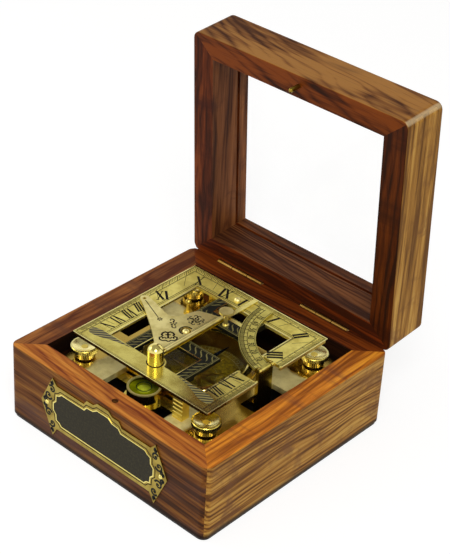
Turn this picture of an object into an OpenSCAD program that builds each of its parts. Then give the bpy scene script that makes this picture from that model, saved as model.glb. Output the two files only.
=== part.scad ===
// Boxed inclining sundial: a polished brass dial on a compass base, in a hinged wooden box.
// Millimetres, +Z up. The origin is the middle of the box's underside; the label faces -Y.

/* [Box] */
// Outer width of the box, left to right
box_w = 130; // [124:1:140]
// Outer depth of the box, front to back
box_d = 127.6; // [122:0.4:140]
// Height of the box below the lid
base_h = 42.2; // [42:0.2:44]
// Depth of the lid
lid_h = 26.4; // [26:0.2:32]
// Thickness of the box's front and back rails
rail_t = 12.1; // [10.5:0.2:12.5]
// Thickness of the lid's front and back rails
lid_rail_t = 11.6; // [10.5:0.2:12]
// Angle at which the open lid stands
lid_open = 86.5; // [80:0.5:90]
// Radius of the box's upright corners
corner_r = 4; // [2.5:0.5:5]
// Radius of the rails' long outer edges
edge_r = 1.8; // [0.5:0.1:2.5]
// Thickness of the lid's pane
glass_t = 2; // [1.6:0.2:2.4]
// Length of a hinge
hinge_len = 30; // [24:1:32]

/* [Dial] */
// Width of the hour frame, left to right
frame_w = 88; // [86:1:90]
// Depth of the hour frame, front to back
frame_d = 84.4; // [84:0.2:86]
// Thickness of the hour frame
frame_t = 1.6; // [1.4:0.1:1.8]
// Height of the hour frame's top above the table
frame_top = 49.7; // [49.5:0.1:50]
// Width of the cut through the right bar
gap_w = 17.6; // [17.4:0.2:19]
// Outer radius of the latitude arc
arc_r = 42.3; // [41.5:0.1:42.5]
// Width of the latitude arc's band
arc_band = 8.2; // [7.4:0.2:8.2]
// Diameter of the lifting knob
knob_d = 7.8; // [6:0.2:9]

/* [Base plate] */
// Half width of the base plate
plate_half = 47.3; // [46:0.1:48]
// Height of the base plate's top above the table
plate_top = 35; // [34:0.5:35.5]
// Thickness of the base plate
plate_t = 3; // [2.5:0.5:3]
// Diameter of a levelling screw's head
head_d = 14; // [12:0.5:14]
// Diameter of the compass bezel
bezel_d = 57; // [56:0.5:58]
// Diameter of the round level
level_d = 16.4; // [15:0.2:17]

/* [Hidden] */
$fn = 64;

// Fits and gaps
eps = 0.01;
run_gap = 0.05;
free_gap = 0.3;
side_gap = 0.4;

// Box
half = box_d / 2;
half_x = box_w / 2;
inner = half - rail_t;
lid_inner = half - lid_rail_t;
felt_t = 1.2;
felt_in = 0.6;
floor_t = 3;
lining_t = 0.6;
floor_z = felt_t;
lining_z = floor_z + floor_t;
lining_top = lining_z + lining_t;
rim_r = 0.6;
back_r = 0.2;
lid_z = base_h + free_gap;
groove_in = 1.4;
pane_lift = 18.2;
glass_z = lid_z + pane_lift;

// Hinges on the back
hinge_in = [33.6, 40.2];
hinge_x = [-half_x + hinge_in[0], half_x - hinge_in[1]];
knuckle_r = 1.2;
pin_r = 0.6;
leaf_t = 0.8;
leaf_h = 8;
axis_in = 0.3;
axis_y = half - axis_in;
axis_z = base_h - axis_in;
knuckle_len = (hinge_len - 2 * side_gap) / 3;
leaf_foot = base_h - leaf_h;
leaf_out = half + leaf_t - axis_y;
heel_w = 9;
heel_in = 2;
heel_out = 4.5;
heel_slope = cos(lid_open) / sin(lid_open);
heel_top = axis_z - leaf_out * sin(lid_open) + (heel_in - leaf_out * cos(lid_open)) * heel_slope
    - free_gap;
leaf_screw_x = [-10.5, 10.5];
leaf_screw_z = leaf_h / 2 + 0.6;
leaf_screw_r = 1.5;
slot_w = 0.4;
slot_d = 0.2;

// Catch and label
catch_x = 2;
catch_y = -half + 5.3;
catch_r = 1.2;
catch_len = 6.6;
catch_gap = 0.4;
label_t = 0.7;
label_z = 22;
label_shape = [[0, -12.2], [31, -12.2], [34, -17.2], [41.8, 0.5], [34, 16.6], [31, 13.3],
    [12.5, 13.3], [10.5, 16.2], [6.2, 16.2], [3.6, 18.4], [0, 18.4]];
horn_x = 43.6;
horn_z = 11.6;
horn_r = 5.4;
nail_x = 37.8;
nail_z = 22.5;
nail_r = 0.6;
nail_head_r = 1.2;

// Base plate and what it carries
plate_z = plate_top - plate_t;
plate_r = 6;
notch_x = 20;
notch_y = 29;
side_notch_x = 37;
side_notch_y = 11.5;
screw_x = 40;
screw_y = 38;
stem_r = 1.9;
boss_r = 4.5;
boss_h = 4;
head_h = 6;
head_lift = 1;
disc_h = 2.4;
head_bevel = 0.5;
neck_r = 4;
collar_h = 3;
collar_r = 5.2;
tooth = 0.3;
dish_edge = 1.1;
dish_d = 1.5;
dish_r = (pow(head_d / 2 - dish_edge, 2) + pow(dish_d, 2)) / (2 * dish_d);
stem_in = 3.6;
stem_tip = 1.6;
bezel_over = 2.7;
bowl_r = bezel_d / 2 - bezel_over;
bowl_wall = 1.5;
bowl_z = 24;
bezel_h = 2.2;
bezel_rim = 0.8;
bezel_in = 2.4;
glass_seat = 0.6;
pane_t = 1.2;
card_t = 0.6;
card_gap = 0.2;
pivot_r = 0.65;
pivot_foot_r = 1.2;
pivot_foot_h = 1.8;
pivot_h = 6;
pivot_tip_h = 0.8;
needle_z = bowl_z + bowl_wall + pivot_h - 0.1;
needle_t = 0.6;
needle_half = 21.5;
needle_w = 2.2;
cap_r = 2;
cap_h = 1.6;
cap_top = 0.4;
level_gap = 1.9;
level_top = 39;
level_h = 13;
level_r = level_d / 2;
eye_r = level_r + 1.8;
level_y = -(bowl_r + level_gap + eye_r);
level_wall = 0.8;
level_floor = 5;
level_seat = 2.2;
level_lip = 1.1;
level_ring_t = 0.6;
bubble_r = 3.3;
bubble_h = 0.8;
level_foot = level_top - level_h;
bar_y = level_y + 4.7;
bar_w = 6;
bar_end = notch_x + 5;
bar_t = 2;
bar_z = plate_z - bar_t;
plate_screw_h = 1.2;
bar_screw_r = 1.8;
foot_screw_r = 1.4;
foot_x = 30;
post_x = 28;
post_w = 4.2;
post_foot = 1.2;
foot_front = 6;
foot_back = 4;
tilt_in = 1.2;
tilt_y = frame_d / 2 - tilt_in;
tilt_z = 44.6;
ear_r = 2.2;
ear_t = 1.6;
tilt_pin_r = 0.9;
ear_off = post_w / 2 + side_gap + ear_t / 2;
ear_tab = 1;
rest_x = 24.5;
rest_y = -38.5;
rest_w = 6;
rest_d = 5;
rest_rib = 2.2;
ball_x = -31;
ball_y = 24.4;
ball_z = 42;
ball_r = 1.6;
ball_post_r = 0.9;
ball_foot_r = 2.2;
ball_foot_h = 1.4;

// Hour frame
frame_z = frame_top - frame_t;
bar_left = 14;
bar_right = 12.6;
bar_back = 13;
bar_front = 11.2;
frame_r = 2.2;
gap_r = 1.2;
noon_x = -0.8;
knob_x = 0.6;
knob_in = 0.4;
knob_gap = 0.5;
knob_y = -frame_d / 2 + bar_front - knob_in;
knob_h = 10;
knob_step = 0.5;
knob_foot = 0.7;
knob_dome = knob_d / 3;
knob_round = (pow(knob_d / 2, 2) + pow(knob_dome, 2)) / (2 * knob_dome);
knob_boss_r = 5.2;

// Bridge under the gnomon's foot
bridge_half = 19.75;
bridge_top = -7.2;
bridge_leg = 6.2;
bridge_bar = 7.6;
bridge_end = -frame_d / 2 + bar_front;
back_half = 15.4;
back_leg = 6.2;
back_low = 11.6;
back_bar = 10.2;
back_end = frame_d / 2 - bar_back;
tab_t = 1.4;
tab_len = 6;
tab_screw_h = 1;
tab_screw_r = 1.5;

// Disc-headed post on the back bridge, and the screw beside its left leg
disc_x = 3;
disc_in = 2.7;
disc_y = back_low + disc_in;
disc_r = 3.5;
disc_t = 1;
disc_top = 58.4;
disc_post_r = 1;
disc_foot_r = 1.7;
disc_foot_h = 0.8;
back_screw_x = -7.6;
back_screw_in = 7.6;
back_screw_y = frame_d / 2 - back_screw_in;
back_screw_r = 1.8;

// Gnomon
noon_w = 2.6;
pad_half = 1.6;
pad_t = 1;
noon_t = 0.8;
noon_in = 1.7;
noon_back = frame_d / 2 - noon_in;
noon_front = knob_y + knob_d / 2 + knob_gap;
fold_r = 1;
fold_z = frame_top + noon_t + fold_r + free_gap;
fold_pin_r = 0.5;
fold_back = 16.3;
lug_len = 2;
lug_in = 1.1;
fold_front = noon_front + lug_in + lug_len;
gnomon_t = 1.2;
gnomon_shape = [[-8.3, -22.9], [-11.1, -20.6], [-16.4, -16.5], [-22.6, -12.1], [-29.1, -7.6],
    [-36.5, -2.9], [-40.3, -0.8], [-41.4, 1], [-40.4, 2.9], [-38.6, 3.4], [-32.8, 2.1],
    [-26.8, 0.4], [-22.6, -0.7], [-20.6, -1.1], [-19.2, -0.8], [-17.8, 0.3], [-16.6, 2.2],
    [-15.7, 4.6], [-15, 7.2], [-14, 10], [-12.6, 12.5], [-7, 14.6]];
gnomon_z = frame_top + side_gap;
gnomon_edge = noon_x - noon_w / 2 - side_gap;
dome_x = -5.7;
dome_y = -4.3;
dome_r = 1.9;
dome_h = 1.4;
dome_neck = 0.9;
dome_gap = 0.7;
tip_x = -38.7;
tip_y = 0.7;
tip_hole_r = 0.9;

// Latitude arc
arc_x = 39.2;
arc_c = [47, 38];
arc_z = frame_top + 0.9;
arc_t = 1.2;
arc_pin_r = 0.6;
arc_knuckle_r = 1.3;
arc_seat = [-1.2, 4.8];
upright_t = 1.8;
upright_z = 20;
bracket_ear = 1.6;
bracket_r = 1.5;
bracket_y = [arc_seat[0] - side_gap - bracket_ear, arc_seat[1] + side_gap];
arc_start = 1.9;

wood = "#8a4a24";
dark_wood = "#4a261a";
brass = "#d9b64a";
pale_brass = "#e6cc74";

// Shapes used by several pieces

module round_square(h, x, y, r) {
    linear_extrude(h) {
        square([2 * x - 2 * r, 2 * y], center = true);
        square([2 * x, 2 * y - 2 * r], center = true);
        for (sx = [-1, 1], sy = [-1, 1]) translate([sx * (x - r), sy * (y - r)]) circle(r);
    }
}

module rod_x(x0, x1, y, z, r) {
    translate([x0, y, z]) rotate([0, 90, 0]) cylinder(h = x1 - x0, r = r);
}

module rod_y(y0, y1, x, z, r) {
    translate([x, y0, z]) rotate([-90, 0, 0]) cylinder(h = y1 - y0, r = r);
}

module block(x0, x1, y0, y1, z0, z1) {
    translate([x0, y0, z0]) cube([x1 - x0, y1 - y0, z1 - z0]);
}

// Cross-section of a rail, with its outer edges rounded: X outwards from the box's middle, Y up
module rail_section(from, to, h, r_low, r_high) {
    difference() {
        translate([from, 0]) square([to - from, h]);
        translate([to - r_high, h - r_high]) difference() {
            square(r_high + eps);
            circle(r_high);
        }
        translate([to - r_low, r_low]) mirror([0, 1]) difference() {
            square(r_low + eps);
            circle(r_low);
        }
    }
}

// A block with rounded upright corners, with the rounding of its long edges led round them
module rounded_block(h, x, y, r, r_low, r_high) {
    block(-x + r, x - r, -y, y, 0, h);
    block(-x, x, -y + r, y - r, 0, h);
    for (sx = [-1, 1], sy = [-1, 1]) translate([sx * (x - r), sy * (y - r), 0])
        rotate_extrude() rail_section(0, r, h, r_low, r_high);
}

// A rail on one side, with mitred ends and rounded upright corners. turn 0 is the back.
module rail(turn, from, z, h, r_low, r_high) {
    to = turn % 180 == 0 ? half : half_x;
    along = turn % 180 == 0 ? half_x : half;
    rotate([0, 0, turn]) intersection() {
        translate([0, 0, z]) rotate([90, 0, 90]) linear_extrude(2 * along, center = true)
            rail_section(from, to, h, r_low, r_high);
        translate([0, 0, z]) linear_extrude(h)
            polygon([[from, from], [along, to], [-along, to], [-from, from]]);
        translate([0, 0, z]) rounded_block(h, along, to, corner_r, r_low, r_high);
    }
}

module base_rail(turn) {
    rail(turn, inner, felt_t, base_h - felt_t, rim_r, turn == 0 ? back_r : rim_r);
}

module lid_rail(turn) {
    difference() {
        rail(turn, lid_inner, lid_z, lid_h, turn == 0 ? back_r : rim_r, edge_r);
        translate([0, 0, glass_z])
            linear_extrude(glass_t) square(2 * (lid_inner + groove_in), center = true);
    }
}

// Turns what is drawn with the lid shut to the open lid's place
module lid_pose() {
    translate([0, axis_y, axis_z]) rotate([-lid_open, 0, 0]) translate([0, -axis_y, -axis_z])
        children();
}

// The hollow along the back edges that the hinge barrels lie in
module barrel_hollow() {
    for (x = hinge_x)
        rod_x(x - hinge_len / 2 - free_gap, x + hinge_len / 2 + free_gap, axis_y, axis_z,
            knuckle_r + free_gap);
}

module knuckle(x, i) {
    x0 = x - hinge_len / 2 + i * (knuckle_len + side_gap);
    rod_x(x0, x0 + knuckle_len, axis_y, axis_z, knuckle_r);
}

module screw_holes(x, z) {
    for (dx = leaf_screw_x) translate([x + dx, half - eps, z]) rotate([-90, 0, 0])
        cylinder(h = leaf_t + 2 * eps, r = leaf_screw_r);
}

// Box

module base_front_rail() color(wood) difference() {
    base_rail(180);
    translate([catch_x, catch_y, base_h - catch_len - catch_gap])
        cylinder(h = catch_len + 1, r = catch_r + catch_gap);
}

module base_back_rail() color(wood) difference() {
    base_rail(0);
    barrel_hollow();
}

module base_left_rail() color(wood) base_rail(90);

module base_right_rail() color(wood) base_rail(270);

module base_floor() color(dark_wood) translate([0, 0, floor_z])
    linear_extrude(floor_t) square(2 * inner, center = true);

module base_felt() color("#1c1a19") round_square(felt_t, half_x - felt_in, half - felt_in, corner_r);

module base_lining() color("#2a1712") translate([0, 0, lining_z])
    linear_extrude(lining_t) square(2 * inner, center = true);

// Lid

module lid_front_rail() color(wood) lid_pose() lid_rail(180);

module lid_back_rail() color(wood) lid_pose() difference() {
    lid_rail(0);
    barrel_hollow();
}

module lid_left_rail() color(wood) lid_pose() lid_rail(90);

module lid_right_rail() color(wood) lid_pose() lid_rail(270);

module lid_glass() color("#cfe4e8", 0.35) lid_pose() translate([0, 0, glass_z])
    linear_extrude(glass_t) square(2 * (lid_inner + groove_in), center = true);

module catch_pin() color(brass) lid_pose() {
    translate([catch_x, catch_y, lid_z - catch_len + catch_r]) cylinder(h = catch_len - catch_r, r = catch_r);
    translate([catch_x, catch_y, lid_z - catch_len + catch_r]) sphere(catch_r);
}

// Hinges

// The leaf on the box, with two knuckles and the heel that stops the open lid
module base_leaf(x) color(brass) {
    difference() {
        union() {
            block(x - hinge_len / 2, x + hinge_len / 2, half, half + leaf_t,
                leaf_foot, axis_z - knuckle_r - free_gap);
            for (i = [0, 2]) {
                knuckle(x, i);
                x0 = x - hinge_len / 2 + i * (knuckle_len + side_gap);
                block(x0, x0 + knuckle_len, half, half + leaf_t, leaf_foot, axis_z);
            }
            block(x - heel_w / 2, x + heel_w / 2, half, axis_y + heel_out,
                leaf_foot, axis_z - knuckle_r - free_gap);
            block(x - heel_w / 2, x + heel_w / 2, axis_y + heel_in, axis_y + heel_out,
                leaf_foot, heel_top);
        }
        rod_x(x - hinge_len, x + hinge_len, axis_y, axis_z, pin_r);
        screw_holes(x, base_h - leaf_screw_z);
    }
}

// The leaf on the lid, with the middle knuckle
module lid_leaf(x) color(brass) lid_pose() {
    x0 = x - hinge_len / 2 + knuckle_len + side_gap;
    difference() {
        union() {
            block(x - hinge_len / 2, x + hinge_len / 2, half, half + leaf_t,
                axis_z + knuckle_r + free_gap, lid_z + leaf_h);
            knuckle(x, 1);
            block(x0, x0 + knuckle_len, half, half + leaf_t, axis_z, lid_z + leaf_h);
        }
        rod_x(x - hinge_len, x + hinge_len, axis_y, axis_z, pin_r + run_gap);
        screw_holes(x, lid_z + leaf_screw_z);
    }
}

module hinge_pin(x) color(pale_brass)
    rod_x(x - hinge_len / 2, x + hinge_len / 2, axis_y, axis_z, pin_r);

// Slotted heads that fill the holes of the leaves on one side of the joint
module leaf_screws(z) {
    for (x = hinge_x, dx = leaf_screw_x) translate([x + dx, half, z]) rotate([-90, 0, 0]) difference() {
        cylinder(h = leaf_t, r = leaf_screw_r);
        translate([0, 0, leaf_t - slot_d]) linear_extrude(1)
            square([3 * leaf_screw_r, slot_w], center = true);
    }
}

module hinge_left_base_leaf() base_leaf(hinge_x[0]);
module hinge_left_lid_leaf() lid_leaf(hinge_x[0]);
module hinge_left_pin() hinge_pin(hinge_x[0]);
module hinge_right_base_leaf() base_leaf(hinge_x[1]);
module hinge_right_lid_leaf() lid_leaf(hinge_x[1]);
module hinge_right_pin() hinge_pin(hinge_x[1]);
module hinge_base_screws() color(pale_brass) leaf_screws(base_h - leaf_screw_z);
module hinge_lid_screws() color(pale_brass) lid_pose() leaf_screws(lid_z + leaf_screw_z);

// Label

// Right half of the label's outline, seen from the front: horned corners, pointed side, domed top
module label_half() {
    difference() {
        polygon(label_shape);
        for (s = [-1, 1]) translate([horn_x, s * horn_z]) circle(horn_r);
    }
}

module label_plate() color(brass) translate([0, -half, label_z]) rotate([90, 0, 0]) difference() {
    linear_extrude(label_t) {
        label_half();
        mirror([1, 0]) label_half();
    }
    for (sx = [-1, 1]) translate([sx * nail_x, nail_z - label_z, -eps])
        cylinder(h = label_t + 2 * eps, r = nail_r);
}

module label_nails() color(pale_brass) for (sx = [-1, 1])
    translate([sx * nail_x, -half, nail_z]) rotate([90, 0, 0]) {
        cylinder(h = label_t, r = nail_r);
        translate([0, 0, label_t]) intersection() {
            translate([0, 0, -nail_r]) sphere(nail_head_r + 0.1);
            cylinder(h = nail_head_r, r = nail_head_r);
        }
    }

// Base plate and compass

module plate_outline() {
    difference() {
        union() {
            square([2 * plate_half - 2 * plate_r, 2 * plate_half], center = true);
            square([2 * plate_half, 2 * plate_half - 2 * plate_r], center = true);
            for (sx = [-1, 1], sy = [-1, 1])
                translate([sx * (plate_half - plate_r), sy * (plate_half - plate_r)]) circle(plate_r);
        }
        for (s = [-1, 1]) {
            translate([0, s * (notch_y + plate_half)]) square([2 * notch_x, 2 * plate_half], center = true);
            translate([s * (side_notch_x + plate_half), 0])
                square([2 * plate_half, 2 * side_notch_y], center = true);
        }
        circle(bowl_r);
    }
}

module base_plate() color(brass) difference() {
    union() {
        translate([0, 0, plate_z]) linear_extrude(plate_t) plate_outline();
        for (sx = [-1, 1], sy = [-1, 1]) translate([sx * screw_x, sy * screw_y, plate_z - boss_h])
            cylinder(h = boss_h, r = boss_r);
    }
    for (sx = [-1, 1], sy = [-1, 1])
        translate([sx * screw_x, sy * screw_y, 0]) cylinder(h = plate_top + 1, r = stem_r + run_gap);
}

module compass_bowl() color("#8a6a2c") difference() {
    translate([0, 0, bowl_z]) cylinder(h = plate_top - bowl_z, r = bowl_r);
    translate([0, 0, bowl_z + bowl_wall]) cylinder(h = plate_top, r = bowl_r - bowl_wall);
}

module compass_bezel() color(pale_brass) translate([0, 0, plate_top]) difference() {
    rotate_extrude() difference() {
        polygon([[bowl_r - bezel_in, 0], [bezel_d / 2, 0], [bezel_d / 2, bezel_rim],
            [bezel_d / 2 - bezel_h + bezel_rim, bezel_h], [bowl_r - bezel_in + 1, bezel_h],
            [bowl_r - bezel_in, bezel_h - 0.6]]);
        square([bowl_r - glass_seat, pane_t]);
    }
}

module compass_glass() color("#d8e6e4", 0.35)
    translate([0, 0, plate_top]) cylinder(h = pane_t, r = bowl_r - glass_seat);

module compass_card() color("#3a2a18") translate([0, 0, bowl_z + bowl_wall]) difference() {
    cylinder(h = card_t, r = bowl_r - bowl_wall - card_gap);
    translate([0, 0, -1]) cylinder(h = card_t + 2, r = pivot_foot_r);
}

module compass_pivot() color(brass) translate([0, 0, bowl_z + bowl_wall]) {
    cylinder(h = pivot_foot_h, r = pivot_foot_r);
    cylinder(h = pivot_h, r = pivot_r);
    translate([0, 0, pivot_h]) cylinder(h = pivot_tip_h, r1 = pivot_r, r2 = 0.1);
}

// A long rhombus with a bearing cap over the pivot's point
module compass_needle() color("#3f5c86") difference() {
    translate([0, 0, needle_z]) {
        linear_extrude(needle_t)
            polygon([[-needle_w, 0], [0, -needle_half], [needle_w, 0], [0, needle_half]]);
        cylinder(h = cap_h, r = cap_r);
    }
    translate([0, 0, needle_z - 1]) cylinder(h = 1 + cap_h - cap_top, r = pivot_r + run_gap);
}

// Round level in the front notch

module level_bracket() color(brass) translate([0, 0, bar_z]) difference() {
    linear_extrude(bar_t) {
        translate([0, bar_y]) square([2 * bar_end, bar_w], center = true);
        translate([0, level_y]) circle(eye_r);
    }
    translate([0, level_y, -1]) cylinder(h = bar_t + 2, r = level_r);
}

module level_housing() color(brass) translate([0, level_y, level_foot]) difference() {
    cylinder(h = level_h - level_ring_t, r = level_r);
    translate([0, 0, level_floor]) cylinder(h = level_h, r = level_r - level_wall);
}

module level_fluid() color("#7fae3c") translate([0, level_y, level_foot + level_floor]) difference() {
    cylinder(h = level_h - level_floor - level_seat, r = level_r - level_wall);
    translate([0, 0, level_h - level_floor - level_seat - bubble_h]) cylinder(h = 1, r = bubble_r);
}

module level_bubble() color("#b8d68a")
    translate([0, level_y, level_top - level_seat - bubble_h]) cylinder(h = bubble_h, r = bubble_r);

module level_glass() color("#cfe0b4", 0.35) translate([0, level_y, level_top - level_seat])
    cylinder(h = level_seat - level_ring_t, r = level_r - level_wall);

module level_ring() color(pale_brass) translate([0, level_y, level_top - level_ring_t]) difference() {
    cylinder(h = level_ring_t, r = level_r);
    translate([0, 0, -1]) cylinder(h = 2, r = level_r - level_lip);
}

// Levelling screws

// Ring of small teeth round a knurled part
module knurl(h, r, n, depth) {
    linear_extrude(h) polygon([for (i = [0 : 2 * n - 1])
        (r - depth * (i % 2)) * [cos(180 * i / n), sin(180 * i / n)]]);
}

module screw_head(sx, sy) color(brass) translate([sx * screw_x, sy * screw_y, plate_top + head_lift])
    difference() {
        union() {
            knurl(collar_h, collar_r, 30, tooth);
            cylinder(h = head_h - disc_h, r = neck_r);
            translate([0, 0, head_h - disc_h]) {
                knurl(disc_h - head_bevel, head_d / 2, 48, tooth);
                cylinder(h = disc_h, r = head_d / 2 - head_bevel);
            }
        }
        translate([0, 0, head_h - dish_d + dish_r]) sphere(dish_r);
        translate([0, 0, -1]) cylinder(h = 1 + stem_in + free_gap, r = stem_r + run_gap);
    }

module screw_stem(sx, sy) color(pale_brass) translate([sx * screw_x, sy * screw_y, 0]) {
    z0 = lining_top + free_gap;
    z1 = plate_top + head_lift + stem_in;
    translate([0, 0, z0 + stem_tip]) cylinder(h = z1 - z0 - stem_tip, r = stem_r);
    translate([0, 0, z0]) cylinder(h = stem_tip, r1 = 0.8, r2 = stem_r);
}

module screw_head_front_left() screw_head(-1, -1);
module screw_head_front_right() screw_head(1, -1);
module screw_head_back_left() screw_head(-1, 1);
module screw_head_back_right() screw_head(1, 1);
module screw_stem_front_left() screw_stem(-1, -1);
module screw_stem_front_right() screw_stem(1, -1);
module screw_stem_back_left() screw_stem(-1, 1);
module screw_stem_back_right() screw_stem(1, 1);

// Posts and bracket on the base plate

// Ribbed post that carries the frame's front when it is down
module rest_post() translate([rest_x, rest_y, plate_top]) difference() {
    linear_extrude(frame_z - plate_top - free_gap) square([rest_w, rest_d], center = true);
    for (i = [0 : 4]) translate([0, -rest_d / 2, rest_rib * (i + 0.7)]) rotate([0, 90, 0])
        cylinder(h = rest_w + 2, r = 0.5, center = true);
}

// Stop pin with a ball head
module ball_post() translate([ball_x, ball_y, plate_top]) {
    cylinder(h = ball_z - plate_top, r = ball_post_r);
    cylinder(h = ball_foot_h, r = ball_foot_r);
    translate([0, 0, ball_z - plate_top]) sphere(ball_r);
}

module plate_posts() color(brass) {
    rest_post();
    ball_post();
}

module frame_posts() color(brass) for (sx = [-1, 1]) difference() {
    union() {
        rod_x(sx * post_x - post_w / 2, sx * post_x + post_w / 2, tilt_y, tilt_z, ear_r);
        block(sx * post_x - post_w / 2, sx * post_x + post_w / 2, tilt_y - ear_r, tilt_y + ear_r,
            plate_top, tilt_z);
        block(sx * post_x - post_w / 2, sx * post_x + post_w / 2, tilt_y - foot_front,
            tilt_y + foot_back, plate_top, plate_top + post_foot);
    }
    rod_x(-frame_w, frame_w, tilt_y, tilt_z, tilt_pin_r + run_gap);
}

module arc_bracket() color(brass) difference() {
    union() {
        block(arc_x - upright_t / 2, arc_x + upright_t / 2, bracket_y[0],
            bracket_y[1] + bracket_ear, upright_z, arc_z - arc_knuckle_r - free_gap);
        for (y = bracket_y) {
            rod_y(y, y + bracket_ear, arc_x, arc_z, bracket_r);
            block(arc_x - upright_t / 2, arc_x + upright_t / 2, y, y + bracket_ear, plate_z, arc_z);
        }
        block(foot_x, arc_x, bracket_y[0], bracket_y[1] + bracket_ear, bar_z, plate_z);
    }
    rod_y(-frame_d, frame_d, arc_x, arc_z, arc_pin_r);
}

// Round heads under the base plate that hold the level's bar and the bracket's foot
module plate_screws() color(pale_brass) {
    for (sx = [-1, 1]) translate([sx * (notch_x + bar_end) / 2, bar_y, bar_z - plate_screw_h])
        cylinder(h = plate_screw_h, r = bar_screw_r);
    for (y = [arc_seat[0] + 1.3, arc_seat[1] - 1.3]) translate([foot_x + 3.5, y, bar_z - plate_screw_h])
        cylinder(h = plate_screw_h, r = foot_screw_r);
}

// Hour frame

// Flat plate with a square window, a cut through its right bar and a round seat for the knob
module hour_frame() color(brass) {
    difference() {
        translate([0, 0, frame_z]) round_square(frame_t, frame_w / 2, frame_d / 2, frame_r);
        block(-frame_w / 2 + bar_left, frame_w / 2 - bar_right, -frame_d / 2 + bar_front,
            frame_d / 2 - bar_back, frame_z - 1, frame_top + 1);
        translate([0, 0, frame_z - 1]) linear_extrude(frame_t + 2) {
            translate([frame_w / 2 - bar_right / 2, 0])
                square([bar_right + 2, gap_w - 2 * gap_r], center = true);
            translate([frame_w / 2 - bar_right / 2, 0])
                square([bar_right - 2 * gap_r, gap_w], center = true);
            for (s = [-1, 1], t = [0, 1]) gap_corner(s, t);
        }
    }
    translate([knob_x, knob_y, frame_z]) cylinder(h = frame_t, r = knob_boss_r);
}

// Rounds one corner of a bar's end at the cut: side s of the cut, t 0 at the window, 1 outside
module gap_corner(s, t) {
    x = t == 0 ? frame_w / 2 - bar_right : frame_w / 2;
    d = t == 0 ? 1 : -1;
    translate([x, s * (gap_w / 2 - gap_r)]) difference() {
        square(2 * gap_r, center = true);
        translate([d * gap_r, s * gap_r]) circle(gap_r);
    }
}

// Two clevises under the back bar
module frame_ears() color(brass) difference() {
    for (sx = [-1, 1]) {
        block(sx * post_x - ear_off - ear_t / 2, sx * post_x + ear_off + ear_t / 2,
            tilt_y - foot_front, frame_d / 2, frame_z - ear_tab, frame_z);
        for (s = [-1, 1]) {
            x = sx * post_x + s * ear_off;
            rod_x(x - ear_t / 2, x + ear_t / 2, tilt_y, tilt_z, ear_r);
            block(x - ear_t / 2, x + ear_t / 2, tilt_y - ear_r, tilt_y + ear_r,
                tilt_z, frame_z - ear_tab);
        }
    }
    rod_x(-frame_w, frame_w, tilt_y, tilt_z, tilt_pin_r);
}

module frame_pins() color(pale_brass) for (sx = [-1, 1])
    rod_x(sx * post_x - ear_off - ear_t / 2, sx * post_x + ear_off + ear_t / 2,
        tilt_y, tilt_z, tilt_pin_r);

// Square arch in the frame's plane: its legs start at y = end, its bar runs from inside to outside
module arch(half_w, leg, end, inside, outside) {
    past = end + sign(end - inside);
    difference() {
        block(-half_w, half_w, min(end, outside), max(end, outside), frame_z, frame_top);
        block(-half_w + leg, half_w - leg, min(past, inside), max(past, inside),
            frame_z - 1, frame_top + 1);
    }
    for (sx = [-1, 1]) translate([sx * (half_w - leg / 2), end, frame_z - tab_t / 2])
        cube([leg, 2 * tab_len, tab_t], center = true);
}

module gnomon_bridge() color("#5c5238")
    arch(bridge_half, bridge_leg, bridge_end, bridge_top - bridge_bar, bridge_top);

module back_bridge() color("#6b6040")
    arch(back_half, back_leg, back_end, back_low + back_bar, back_low);

// Bar along the noon line, with the gnomon's two lugs and a pad for its screw
module noon_bar() color(pale_brass) difference() {
    union() {
        block(noon_x - noon_w / 2, noon_x + noon_w / 2, noon_front, noon_back,
            frame_top, frame_top + noon_t);
        for (y = [fold_front - lug_len, fold_back]) {
            block(noon_x - fold_r, noon_x + fold_r, y, y + lug_len, frame_top, fold_z);
            rod_y(y, y + lug_len, noon_x, fold_z, fold_r);
        }
        block(dome_x, noon_x, dome_y - pad_half, dome_y + pad_half, frame_top - pad_t, frame_top);
        translate([dome_x, dome_y, frame_top - pad_t]) cylinder(h = pad_t, r = dome_r);
    }
    rod_y(-frame_d, frame_d, noon_x, fold_z, fold_pin_r);
}

// Low domed screw head on a neck
module dome(r, neck, h) {
    ball = (r * r + h * h) / (2 * h);
    cylinder(h = neck, r = r);
    intersection() {
        translate([0, 0, neck + h - ball]) sphere(ball);
        cylinder(h = neck + h, r = r);
    }
}

// Screw with a flat disc for a head, on the back bridge
module disc_screw() translate([disc_x, disc_y, frame_top]) {
    cylinder(h = disc_top - frame_top, r = disc_post_r);
    cylinder(h = disc_foot_h, r = disc_foot_r);
    translate([0, 0, disc_top - frame_top - disc_t]) cylinder(h = disc_t, r = disc_r);
}

// Screws of the frame: the disc and two domed ones that show, and four under the bridges' tabs
module frame_screws() color(pale_brass) {
    disc_screw();
    translate([dome_x, dome_y, frame_top]) dome(dome_r, dome_neck, dome_h);
    translate([back_screw_x, back_screw_y, frame_top]) dome(back_screw_r, dome_neck / 3, dome_h);
    for (sx = [-1, 1]) {
        translate([sx * (bridge_half - bridge_leg / 2), bridge_end - tab_len / 2,
            frame_z - tab_t - tab_screw_h]) cylinder(h = tab_screw_h, r = tab_screw_r);
        translate([sx * (back_half - back_leg / 2), back_end + tab_len / 2,
            frame_z - tab_t - tab_screw_h]) cylinder(h = tab_screw_h, r = tab_screw_r);
    }
}

module lifting_knob() color(pale_brass) translate([knob_x, knob_y, frame_top]) rotate_extrude()
    union() {
        square([knob_d / 2 - knob_step, knob_foot]);
        translate([0, knob_foot]) square([knob_d / 2, knob_h - knob_foot - knob_dome]);
        intersection() {
            translate([0, knob_h - knob_round]) circle(knob_round);
            translate([0, knob_h - knob_dome]) square([knob_d / 2, knob_dome]);
        }
    }

// Gnomon

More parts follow.
